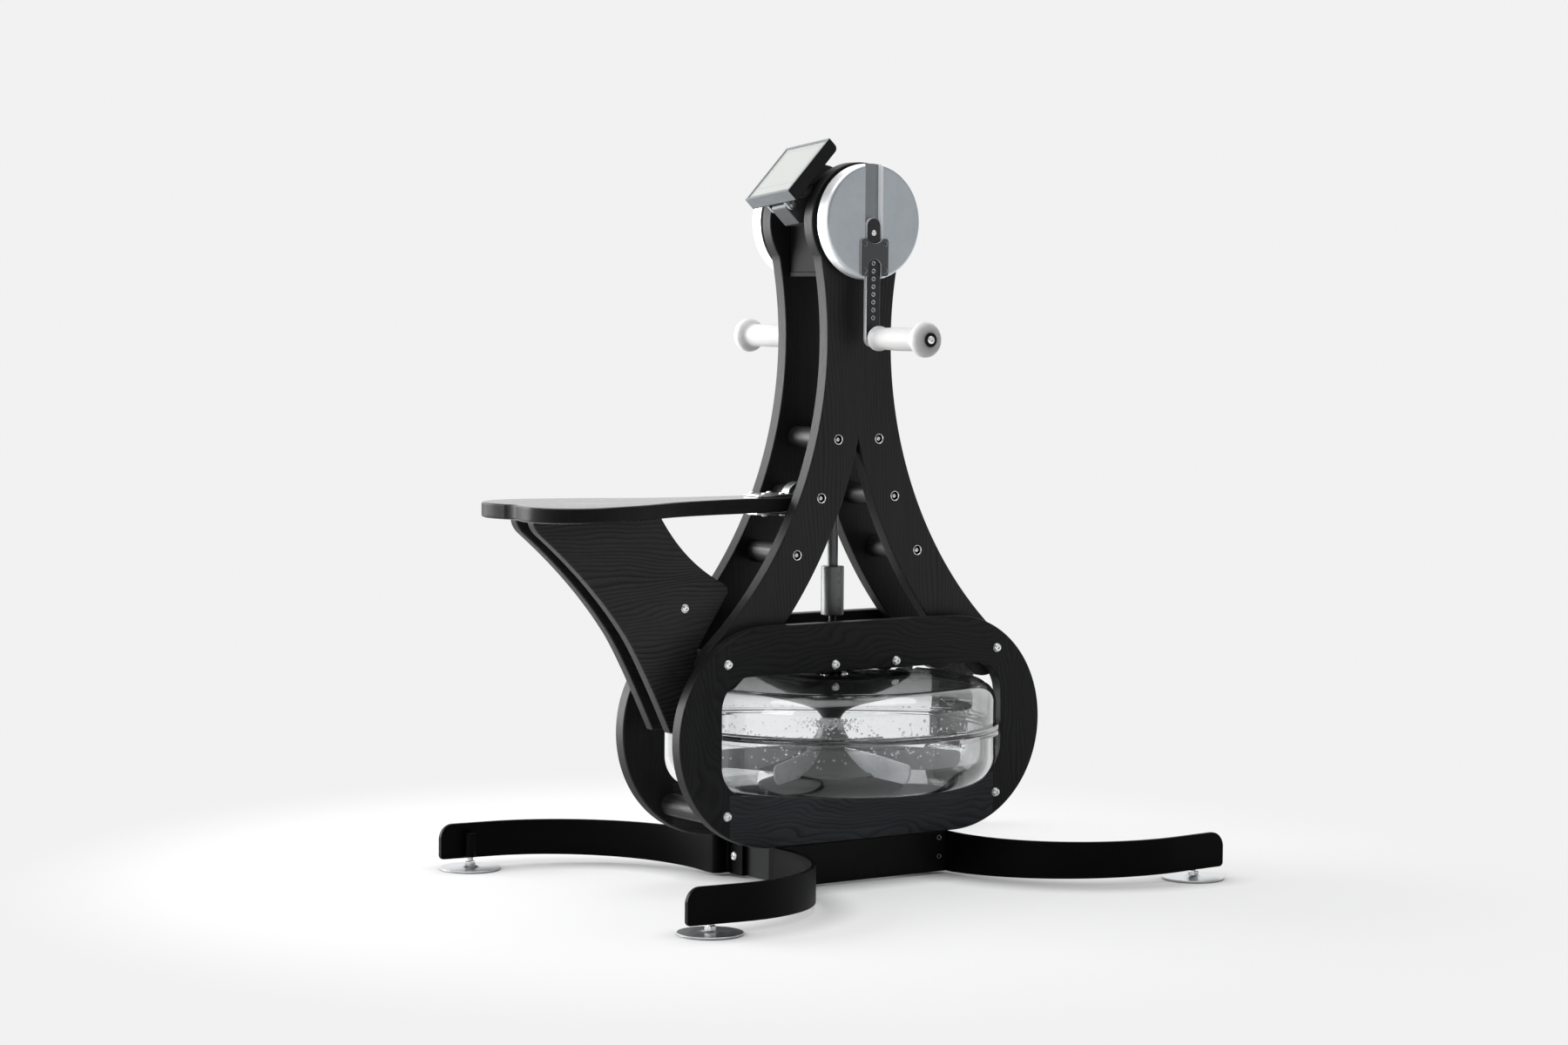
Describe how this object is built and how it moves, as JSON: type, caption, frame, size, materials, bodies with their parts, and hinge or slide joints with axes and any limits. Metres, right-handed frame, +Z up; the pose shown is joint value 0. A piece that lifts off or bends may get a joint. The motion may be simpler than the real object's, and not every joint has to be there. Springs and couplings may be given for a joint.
{
  "type": "hand-crank water ergometer",
  "caption": "Black wooden upper-body trainer: hand cranks turn a shaft that spins a paddle in a clear water tank, with a board seat, a tilting monitor and a steel base on bent legs.",
  "frame": {"origin": "on the floor, at the middle of the length and of the width", "axes": "+Z up, +X away from the seat, Y along the crank axle"},
  "size_m": [1.1361, 0.812, 1.1958],
  "materials": {
    "black_wood": "black-stained ash, satin, grain showing",
    "black_steel": "black satin powder coat",
    "disc_steel": "satin blasted steel",
    "dark_steel": "dark satin",
    "bright_steel": "bright satin",
    "clear_plastic": "clear glossy polycarbonate",
    "black_rubber": "matt",
    "white_grip": "soft matt white",
    "grey_plastic": "dark grey, matt",
    "screen": "pale grey display cover"
  },
  "bodies": {
    "frame": {"tower_panel_near": "black_wood", "tower_panel_far": "black_wood", "tower_crossbar_seat_upper": "black_wood", "tower_crossbar_seat_middle": "black_wood", "tower_crossbar_seat_lower": "black_wood", "plate_spacer_seat_upper": "black_wood", "plate_spacer_seat_lower": "black_wood", "plate_spacer_seat_middle": "black_wood", "tower_crossbar_front_upper": "black_wood", "tower_crossbar_front_middle": "black_wood", "tower_crossbar_front_lower": "black_wood", "plate_spacer_front_upper": "black_wood", "plate_spacer_front_lower": "black_wood", "plate_spacer_front_middle": "black_wood", "tank_plate_near": "black_wood", "tank_plate_far": "black_wood", "tank_upper_shell": "clear_plastic", "tank_lower_shell": "clear_plastic", "tank_seal": "black_rubber", "tank_bearing_cone": "grey_plastic", "base_side_bar_near": "black_steel", "base_side_bar_far": "black_steel", "base_cross_plate_seat": "black_steel", "base_cross_plate_front": "black_steel", "leg_seat_near": "black_steel", "leg_seat_far": "black_steel", "leg_front_near": "black_steel", "leg_front_far": "black_steel", "crank_bearing_near": "bright_steel", "crank_bearing_far": "bright_steel", "gear_housing": "dark_steel", "shaft_upper_bush": "bright_steel", "shaft_block": "black_steel", "shaft_lower_bush": "bright_steel", "monitor_bracket": "dark_steel"},
    "crank": {"crank_axle": "bright_steel", "crank_disc_near": "disc_steel", "crank_disc_far": "disc_steel", "arm_clamp_near": "dark_steel", "arm_clamp_far": "dark_steel", "crank_bevel_gear": "dark_steel"},
    "drive": {"drive_shaft": "dark_steel", "shaft_coupling": "black_steel", "paddle": "grey_plastic"},
    "arm_near": {"crank_arm_near": "dark_steel"},
    "arm_far": {"crank_arm_far": "dark_steel"},
    "grip_near": {"hand_grip_near": "white_grip"},
    "grip_far": {"hand_grip_far": "white_grip"},
    "seat": {"seat_board": "black_wood", "seat_support_near": "black_wood", "seat_support_far": "black_wood", "seat_through_bolt": "bright_steel", "seat_hook": "bright_steel"},
    "monitor": {"monitor_case": "black_wood", "monitor_screen": "screen"},
    "plug": {"tank_fill_plug": "black_rubber"},
    "foot_seat_near": {"foot_seat_near": "bright_steel"},
    "foot_seat_far": {"foot_seat_far": "bright_steel"},
    "foot_front_near": {"foot_front_near": "bright_steel"},
    "foot_front_far": {"foot_front_far": "bright_steel"}
  },
  "joints": [
    {"name": "crank_spin", "type": "hinge", "parent": "frame", "child": "crank", "pos_m": [0.045, 0, 1.0635], "axis": [0, 1, 0], "continuous": true},
    {"name": "shaft_spin", "type": "hinge", "parent": "frame", "child": "drive", "pos_m": [0.045, 0, 0.5], "axis": [0, 0, 1], "continuous": true},
    {"name": "arm_slide_near", "type": "slide", "parent": "crank", "child": "arm_near", "axis": [0, 0, 1], "range_m": [0, 0.0744]},
    {"name": "grip_spin_near", "type": "hinge", "parent": "arm_near", "child": "grip_near", "pos_m": [0.045, -0.185, 0.8775], "axis": [0, 1, 0], "continuous": true},
    {"name": "arm_slide_far", "type": "slide", "parent": "crank", "child": "arm_far", "axis": [0, 0, 1], "range_m": [0, 0.0744]},
    {"name": "grip_spin_far", "type": "hinge", "parent": "arm_far", "child": "grip_far", "pos_m": [0.045, 0.185, 0.8775], "axis": [0, 1, 0], "continuous": true},
    {"name": "monitor_tilt", "type": "hinge", "parent": "frame", "child": "monitor", "pos_m": [-0.06248, -0.00642, 1.08695], "axis": [0, -0.9943, 0.1063], "range_deg": [0, 25]},
    {"name": "seat_lift", "type": "hinge", "parent": "frame", "child": "seat", "pos_m": [-0.0278, 0, 0.6218], "axis": [0, 1, 0], "range_deg": [0, 35]},
    {"name": "plug_pull", "type": "slide", "parent": "frame", "child": "plug", "axis": [0, 0, 1], "range_m": [0, 0.03]},
    {"name": "foot_level_seat_near", "type": "slide", "parent": "frame", "child": "foot_seat_near", "axis": [0, 0, -1], "range_m": [0, 0.012]},
    {"name": "foot_level_seat_far", "type": "slide", "parent": "frame", "child": "foot_seat_far", "axis": [0, 0, -1], "range_m": [0, 0.012]},
    {"name": "foot_level_front_near", "type": "slide", "parent": "frame", "child": "foot_front_near", "axis": [0, 0, -1], "range_m": [0, 0.012]},
    {"name": "foot_level_front_far", "type": "slide", "parent": "frame", "child": "foot_front_far", "axis": [0, 0, -1], "range_m": [0, 0.012]}
  ],
  "couplings": [
    {"joint": "shaft_spin", "follows": "crank_spin", "ratio": 2}
  ]
}
